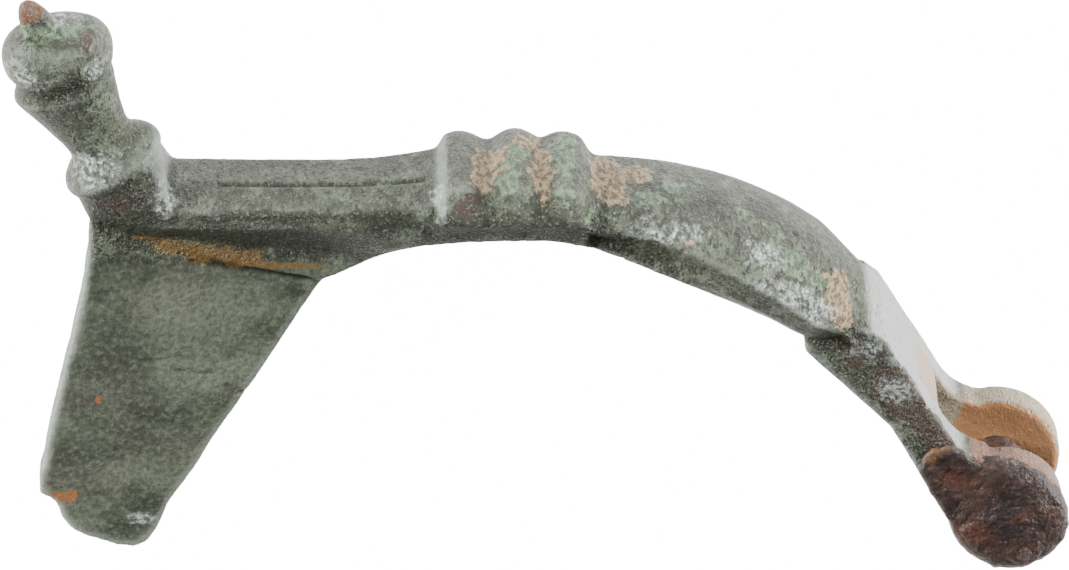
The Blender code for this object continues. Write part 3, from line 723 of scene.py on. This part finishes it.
# %% The crust
DOME = (
    (3.0, 0.92), (3.15, 0.98), (3.4, 1.0), (3.7, 0.99), (3.95, 0.94), (4.15, 0.84), (4.3, 0.68),
    (4.4, 0.45), (4.44, 0.2))
APRON = ((19.75, -14.2), (19.95, -13.3), (20.4, -12.85), (21.35, -12.7), (22.1, -13.1), (22.7, -13.75),
         (23.2, -14.6), (23.0, -18.4), (22.0, -18.4), (21.3, -17.1), (20.4, -15.5))


def crust_forms():
    """A low dome over the near lug, drawn out towards the bar, with a thin apron that runs up the bar.

    The dome's rings are circles whose radius grows towards the bar and shrinks where the rim is bare. Its
    foot dips over the lug's rim and stays up on the bar."""
    angle = np.linspace(0.0, 2.0 * np.pi, 120, endpoint=False)
    towards_bar, bare_rim = (np.clip(np.cos(angle - math.radians(a)), 0.0, 1.0) for a in (128.0, 50.0))
    egg = 3.2 + 0.9 * towards_bar**3 - 0.4 * bare_rim
    foot = -1.2 * (1.0 - bare_rim) * (1.0 - towards_bar) + 0.25 * bare_rim + 0.55 * towards_bar
    rings = []
    for z, share in DOME:
        low = (z < 3.3) * foot - 0.15 * towards_bar**2 * (z > 3.8)
        x = HINGE[0] + 0.5 + share * egg * np.cos(angle)
        y = HINGE[1] - 0.16 + share * egg * np.sin(angle)
        rings.append(np.column_stack([x, y, z + low]))
    return [skin(np.array(rings)), prism(APRON, 3.5, 4.08)]


def lumpy(forms, cell, size, strength, seed, rounds):
    """One skin round the forms, smoothed and then swollen unevenly."""
    points, quads = one_skin(forms, cell)
    edges = edges_of(quads)
    points = relaxed(points, edges, rounds)
    out = normals_of(points, quads)
    swell = rough(points, size, seed) + 0.5 * smooth_step(rough(points, 0.5 * size, seed + 5), 0.2, 0.6)
    swell -= 0.7 * smooth_step(rough(points, 0.4 * size, seed + 9, 2), 0.45, 0.8)
    points = points + strength * swell[:, None] * out
    bulge = np.einsum("ij,ij->i", points - relaxed(points, edges, 12), out)
    # painted shade in the hollows; pale on the bulges, partly wear and partly painted highlight
    masks = {"hollow": smooth_step(-bulge, 0.01, 0.08), "wear_and_highlight": smooth_step(bulge, 0.01, 0.08)}
    return points, quads, masks


crust_points, crust_quads, crust_masks = lumpy(crust_forms(), 0.8 * cell, 1.4, 0.15, 40, 5)
RED = [((25.0, -16.75, 4.3), (0.3, 0.2, 0.6)), ((21.6, -14.6, 4.1), (0.8, 0.7, 0.5)),
       ((22.6, -17.6, 4.2), (0.9, 0.5, 0.5))]
crust_masks["red"] = blots(crust_points, RED, 0.9, 0.7)
to_bar = (crust_points[:, :2] - HINGE) @ ray(124.0)
crust_masks["torn"] = smooth_step(to_bar + 0.6 * grain(crust_points, 0.6, 44), 4.5, 5.2)
crust = place("hinge_rust", crust_points, crust_quads)
keep_masks(crust, crust_masks)
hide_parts("cast_brooch")

# %% The axle
axle_profile = [(-3.98, 0.7), (-3.95, 1.15), (-3.6, 1.4), (-1.8, 1.4),
                (-1.2, 1.2), (0.0, 1.12), (1.2, 1.2), (1.9, 1.35)]
axle_points, axle_quads, axle_masks = lumpy([turned(HINGE, axle_profile, 48)], 0.8 * cell, 0.9, 0.12, 60, 3)
axle_masks["red"] = 0.5 * axle_masks["wear_and_highlight"]
axle_masks["torn"] = 0.0 * axle_masks["wear_and_highlight"]
axle = place("rusted_axle", axle_points, axle_quads)
keep_masks(axle, axle_masks)
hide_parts("iron_axle")
print("crust", 2 * len(crust_quads), "axle", 2 * len(axle_quads), "triangles")

# %% [markdown]
# ## Colours
# The patina is three greens and greys that wander into each other at several sizes, sharpened by what the
# masks say: soil is tan, verdigris light, iron stains red-brown, hollows dark with painted shade and dirt,
# and crests pale from wear and painted highlight. Painted highlights lie on faces turned to the lamps,
# painted glints on chosen patches, and a fine uneven bump breaks up the light into more small glints.


# %% A paint box
def tint(red, green, blue):
    """A colour given as it is seen on a screen, 0 to 255, turned into the light it stands for."""
    return tuple(((c / 255.0 + 0.055) / 1.055) ** 2.4 for c in (red, green, blue)) + (1.0,)


class Paint:
    """One material and the few kinds of node that the finishes here are mixed from."""

    def __init__(self, name, metallic, roughness):
        self.material = bpy.data.materials.new(name)
        self.material.use_nodes = True
        self.tree = self.material.node_tree
        self.shader = self.tree.nodes["Principled BSDF"]
        self.shader.inputs["Metallic"].default_value = metallic
        self.shader.inputs["Roughness"].default_value = roughness
        self.shader.inputs["Specular IOR Level"].default_value = 0.36
        self.space = self.tree.nodes.new("ShaderNodeTexCoord").outputs["Object"]

    def link(self, start, end):
        self.tree.links.new(start, end)

    def grain(self, size, stretch=(1.0, 1.0, 1.0), detail=4.0, seed=0.0):
        """Noise with lumps about size millimetres across, drawn out along an axis where stretch is over 1."""
        turn = self.tree.nodes.new("ShaderNodeMapping")
        turn.inputs["Scale"].default_value = [1.0 / (size * MM * s) for s in stretch]
        turn.inputs["Location"].default_value = (seed, 2.0 * seed, 3.0 * seed)
        self.link(self.space, turn.inputs["Vector"])
        noise = self.tree.nodes.new("ShaderNodeTexNoise")
        noise.inputs["Scale"].default_value = 1.0
        noise.inputs["Detail"].default_value = detail
        noise.inputs["Roughness"].default_value = 0.6
        self.link(turn.outputs["Vector"], noise.inputs["Vector"])
        return noise.outputs["Fac"]

    def mask(self, name):
        node = self.tree.nodes.new("ShaderNodeAttribute")
        node.attribute_name = name
        return node.outputs["Fac"]

    def step(self, value, low, high, bottom=0.0, top=1.0):
        node = self.tree.nodes.new("ShaderNodeMapRange")
        node.interpolation_type = "SMOOTHSTEP"
        for key, number in (("From Min", low), ("From Max", high), ("To Min", bottom), ("To Max", top)):
            node.inputs[key].default_value = number
        self.link(value, node.inputs["Value"])
        return node.outputs["Result"]

    def sum(self, a, b, how="MULTIPLY"):
        node = self.tree.nodes.new("ShaderNodeMath")
        node.operation = how
        for slot, value in ((0, a), (1, b)):
            if isinstance(value, (int, float)):
                node.inputs[slot].default_value = value
            else:
                self.link(value, node.inputs[slot])
        return node.outputs["Value"]

    def blend(self, share, under, over, how="MIX"):
        node = self.tree.nodes.new("ShaderNodeMix")
        node.data_type = "RGBA"
        node.blend_type = how
        if isinstance(share, (int, float)):
            node.inputs[0].default_value = share
        else:
            self.link(share, node.inputs[0])
        for slot, colour in ((6, under), (7, over)):
            if isinstance(colour, tuple):
                node.inputs[slot].default_value = colour
            else:
                self.link(colour, node.inputs[slot])
        return node.outputs[2]

    def over(self, name, strength, under, colour):
        """A colour laid on where a mask says so."""
        return self.blend(self.sum(self.mask(name), strength), under, colour)

    def finish(self, colour, bumps):
        """The colour and a row of (height, strength, depth in millimetres) bumps on one another."""
        self.link(colour, self.shader.inputs["Base Color"])
        before = None
        for height, strength, depth in bumps:
            bump = self.tree.nodes.new("ShaderNodeBump")
            if isinstance(strength, float):
                bump.inputs["Strength"].default_value = strength
            else:
                self.link(strength, bump.inputs["Strength"])
            bump.inputs["Distance"].default_value = depth * MM
            self.link(height, bump.inputs["Height"])
            if before:
                self.link(before, bump.inputs["Normal"])
            before = bump.outputs["Normal"]
        self.link(before, self.shader.inputs["Normal"])
        return self.material


# %% Bronze patina
def cast_skin(paint, broad, middle):
    """Olive and grey-green mottling."""
    colour = paint.blend(paint.step(broad, 0.38, 0.62), tint(44, 48, 34), tint(78, 84, 66))
    return paint.blend(paint.sum(paint.step(middle, 0.45, 0.66), 0.8), colour, tint(108, 118, 98))


def hammered_skin(paint, broad, middle, fine):
    """The plate: soft streaks, plum-grey stains, one light cloud and a few dark shades."""
    streak = paint.grain(2.2, stretch=(2.6, 1.0, 2.0), detail=6.0, seed=5.0)
    colour = paint.blend(paint.step(streak, 0.35, 0.65), tint(58, 64, 52), tint(98, 106, 90))
    colour = paint.blend(paint.sum(paint.step(middle, 0.45, 0.75), 0.35), colour, tint(90, 104, 80))
    colour = paint.blend(paint.sum(paint.step(broad, 0.46, 0.6), 0.45), colour, tint(90, 84, 78))
    colour = paint.over("cloud", 0.5, colour, tint(120, 128, 110))
    colour = paint.over("shade", 0.55, colour, tint(54, 56, 50))
    return paint.blend(paint.sum(paint.step(fine, 0.5, 0.66), 0.3), colour, tint(128, 138, 118))


def patina():
    """The two skins, then one deposit over another in the order in which they settled, with painted
    highlights and painted shade laid in among them.
    """
    paint = Paint("buried_bronze_patina", 0.05, 0.3)
    broad = paint.grain(3.4, detail=5.0)
    middle = paint.grain(1.0, stretch=(1.0, 1.0, 1.7), detail=5.0, seed=3.0)
    fine = paint.grain(0.28, stretch=(1.0, 1.0, 1.9), detail=4.0, seed=7.0)
    dust = paint.grain(0.13, stretch=(1.0, 1.0, 1.9), detail=2.0, seed=11.0)
    smooth = paint.sum(paint.mask("plate"), paint.mask("inner"), "MAXIMUM")
    coarse = paint.sum(1.0, smooth, "SUBTRACT")

    def ragged(name):
        """A mask whose edge is broken up by the fine grain."""
        push = paint.sum(paint.sum(fine, 0.5, "SUBTRACT"), 0.9)
        return paint.step(paint.sum(paint.mask(name), push, "ADD"), 0.36, 0.66)

    def uneven(share, grain, *limits):
        """A share that rises with a grain."""
        return paint.sum(share, paint.step(grain, *limits))

    def on_coarse(amount, least):
        """Least on the smooth faces, and amount more on the coarse ones."""
        return paint.sum(paint.sum(coarse, amount), least, "ADD")

    dark_pores = paint.sum(paint.step(fine, 0.38, 0.52, 0.95, 0.0), on_coarse(0.65, 0.35))
    # pale specks: partly light dust, partly painted sparkle, more on the coarse faces
    dust_and_painted_sparkle = paint.sum(paint.step(dust, 0.55, 0.7), on_coarse(0.25, 0.05))
    # painted sparkle: bright specks for the glint patches
    sparkle = paint.sum(paint.step(dust, 0.48, 0.62), paint.step(fine, 0.46, 0.6, 0.0, 0.9))
    verdigris = paint.blend(paint.step(fine, 0.4, 0.62), tint(58, 88, 62), tint(136, 164, 122))
    soil = paint.blend(paint.step(fine, 0.42, 0.58), tint(96, 74, 50), tint(172, 152, 112))
    layers = [
        (dark_pores, tint(38, 40, 28)),
        # painted highlight on the head's flat face, the block's flank and the foot's end wall
        (paint.sum(paint.mask("painted_highlight"), 0.85), tint(196, 202, 198)),
        (paint.sum(ragged("green"), 0.6), verdigris),
        # pale on crests: partly wear, partly painted highlight
        (paint.sum(paint.mask("wear_and_highlight"), 0.45), tint(184, 192, 178)),
        # painted shade under edges and on downward faces, with some dirt
        (uneven(paint.mask("painted_shade_and_dirt"), middle, 0.3, 0.6, 0.7, 0.95), tint(40, 40, 28)),
        # painted shade and some dirt in the hollows
        (paint.sum(paint.mask("hollow"), 0.85), tint(34, 34, 26)),
        (uneven(paint.mask("pink"), fine, 0.3, 0.6, 0.5, 0.95), tint(150, 106, 88)),
        (paint.sum(paint.mask("rim"), 0.9), tint(192, 176, 148)),
        (paint.sum(paint.mask("inner"), 0.95), tint(168, 106, 54)),
        (uneven(ragged("brown"), middle, 0.3, 0.6, 0.55, 0.95), tint(58, 40, 28)),
        (paint.sum(ragged("ochre"), 0.65), tint(134, 102, 54)),
        (paint.sum(ragged("orange"), 0.7), tint(158, 96, 46)),
        (uneven(ragged("copper"), fine, 0.3, 0.6, 0.45, 1.0), tint(108, 68, 42)),
        (uneven(ragged("soil"), middle, 0.25, 0.5, 0.6, 1.0), soil),
        (dust_and_painted_sparkle, tint(190, 198, 172)),
        # painted glints: a silvery sheen, then bright sparkles, on the glint patches
        (uneven(paint.mask("painted_glint"), fine, 0.42, 0.6, 0.1, 0.7), tint(178, 188, 180)),
        (paint.sum(sparkle, paint.mask("painted_glint")), tint(240, 244, 240)),
    ]
    colour = paint.blend(paint.mask("plate"), cast_skin(paint, broad, middle),
                         hammered_skin(paint, broad, middle, fine))
    for share, tone in layers:
        colour = paint.blend(share, colour, tone)
    strength = on_coarse(0.75, 0.25)
    return paint.finish(colour, [(middle, 0.5, 0.2), (fine, strength, 0.3), (dust, strength, 0.2)])


# %% Iron rust
def rust():
    """Dark brown with torn and reddish places, painted shade in its dips, and pale bulges that are partly
    rubbed wear and partly painted highlight.
    """
    paint = Paint("burst_iron_rust", 0.0, 0.3)
    broad = paint.grain(1.8, detail=5.0)
    fine = paint.grain(0.35, detail=4.0, seed=5.0)
    dust = paint.grain(0.14, detail=2.0, seed=9.0)
    colour = paint.blend(paint.step(broad, 0.4, 0.62), tint(42, 34, 32), tint(68, 50, 42))
    colour = paint.blend(paint.sum(paint.step(fine, 0.5, 0.68), 0.3), colour, tint(96, 68, 52))
    # pale on the bulges: partly rubbed wear, partly painted highlight
    colour = paint.over("wear_and_highlight", 0.3, colour, tint(112, 96, 90))
    # painted shade in the crust's hollows
    colour = paint.over("hollow", 0.7, colour, tint(26, 20, 18))
    colour = paint.over("torn", paint.step(fine, 0.3, 0.6, 0.3, 0.9), colour, tint(112, 84, 54))
    colour = paint.over("red", paint.step(fine, 0.35, 0.6, 0.15, 0.7), colour, tint(92, 52, 36))
    return paint.finish(colour, [(broad, 0.5, 0.3), (fine, 1.0, 0.2), (dust, 0.6, 0.08)])


# %% Painting the pieces
casting.data.materials.append(patina())
rust_paint = rust()
crust.data.materials.append(rust_paint)
axle.data.materials.append(rust_paint)
print("finishes:", ", ".join(m.name for m in (casting.data.materials[0], rust_paint)))

# %% [markdown]
# ## Floor, light and camera
# The brooch lies on a white studio floor. Two big soft lights stand low on the left and the right, so that
# the rims go pale and the undersides stay dark, as in the photograph. The camera has a long lens and looks
# down from the crest's side.


# %% Floor and lamps
def floor_sheet():
    """A white sheet that glows strongly to the camera and faintly in reflections."""
    corners = np.array([(-1.5, -1.5, 0), (1.5, -1.5, 0), (1.5, 1.5, 0), (-1.5, 1.5, 0)], float)
    mesh = to_mesh("floor", corners, [[0, 1, 2, 3]])
    floor = bpy.data.objects.new("floor", mesh)
    bpy.context.scene.collection.objects.link(floor)
    paper = bpy.data.materials.new("white_paper")
    paper.use_nodes = True
    nodes, link = paper.node_tree.nodes, paper.node_tree.links.new
    sheet = nodes["Principled BSDF"].inputs
    sheet["Base Color"].default_value = (0.93, 0.93, 0.93, 1.0)
    sheet["Roughness"].default_value = 0.9
    sheet["Specular IOR Level"].default_value = 0.1
    sheet["Emission Color"].default_value = (1.0, 1.0, 1.0, 1.0)
    seen = nodes.new("ShaderNodeLightPath")
    direct = nodes.new("ShaderNodeMath")
    direct.operation = "MULTIPLY"
    direct.inputs[1].default_value = 16.0
    mirrored = nodes.new("ShaderNodeMath")
    mirrored.operation = "MULTIPLY_ADD"
    mirrored.inputs[1].default_value = 1.1
    link(seen.outputs["Is Camera Ray"], direct.inputs[0])
    link(seen.outputs["Is Glossy Ray"], mirrored.inputs[0])
    link(direct.outputs[0], mirrored.inputs[2])
    link(mirrored.outputs[0], sheet["Emission Strength"])
    mesh.materials.append(paper)


def soft_light(name, place, size, power):
    """A square light that faces the brooch."""
    lamp = bpy.data.lights.new(name, "AREA")
    lamp.shape = "RECTANGLE"
    lamp.size, lamp.size_y = size
    lamp.energy = power
    holder = bpy.data.objects.new(name, lamp)
    holder.location = place
    holder.rotation_euler = (Vector((0, 0, 0)) - Vector(place)).to_track_quat("-Z", "Y").to_euler()
    bpy.context.scene.collection.objects.link(holder)


# %% Camera
def set_camera(tilt, yaw, roll, distance, scale):
    """The photograph's long-lens view: tilt to the crest, slight yaw and roll, pixels per millimetre."""
    t, y, r = (math.radians(a) for a in (tilt, yaw, roll))
    back = np.array((math.sin(y) * math.cos(t), math.sin(t), math.cos(y) * math.cos(t)))
    right = np.array((math.cos(y), 0.0, -math.sin(y)))
    up = np.cross(back, right)
    right, up = math.cos(r) * right + math.sin(r) * up, math.cos(r) * up - math.sin(r) * right
    eye = laid_down(np.array((0.0, -5.0, 0.0)) - 0.027 * right - 0.49 * up + distance * back)
    lens = bpy.data.cameras.new("camera")
    lens.sensor_width = 36.0
    lens.lens = 36.0 * scale * distance / 1069.0
    lens.clip_start, lens.clip_end = 0.01, 10.0
    camera = bpy.data.objects.new("camera", lens)
    axes = [TURN @ a for a in (right, up, back)]
    rows = [[*(float(a[k]) for a in axes), float(eye[k])] for k in range(3)]
    camera.matrix_world = Matrix([*rows, [0, 0, 0, 1]])
    bpy.context.scene.collection.objects.link(camera)
    bpy.context.scene.camera = camera


# %% Studio
floor_sheet()
soft_light("right_window", (0.48, 0.10, 0.07), (0.34, 0.16), 8.0)
soft_light("left_window", (-0.42, 0.14, 0.12), (0.20, 0.18), 5.5)
soft_light("back_window", (0.0, 0.5, 0.10), (0.4, 0.16), 0.6)
soft_light("ceiling", (0.0, -0.05, 0.6), (0.6, 0.6), 1.4)
sky = bpy.data.worlds.new("studio")
sky.use_nodes = True
sky.node_tree.nodes["Background"].inputs["Color"].default_value = (1.0, 1.0, 1.0, 1.0)
sky.node_tree.nodes["Background"].inputs["Strength"].default_value = 0.1
bpy.context.scene.world = sky
set_camera(28.382, -1.049, 0.751, 415.96, 19.599)
print("camera:", round(bpy.context.scene.camera.data.lens, 1), "mm lens")
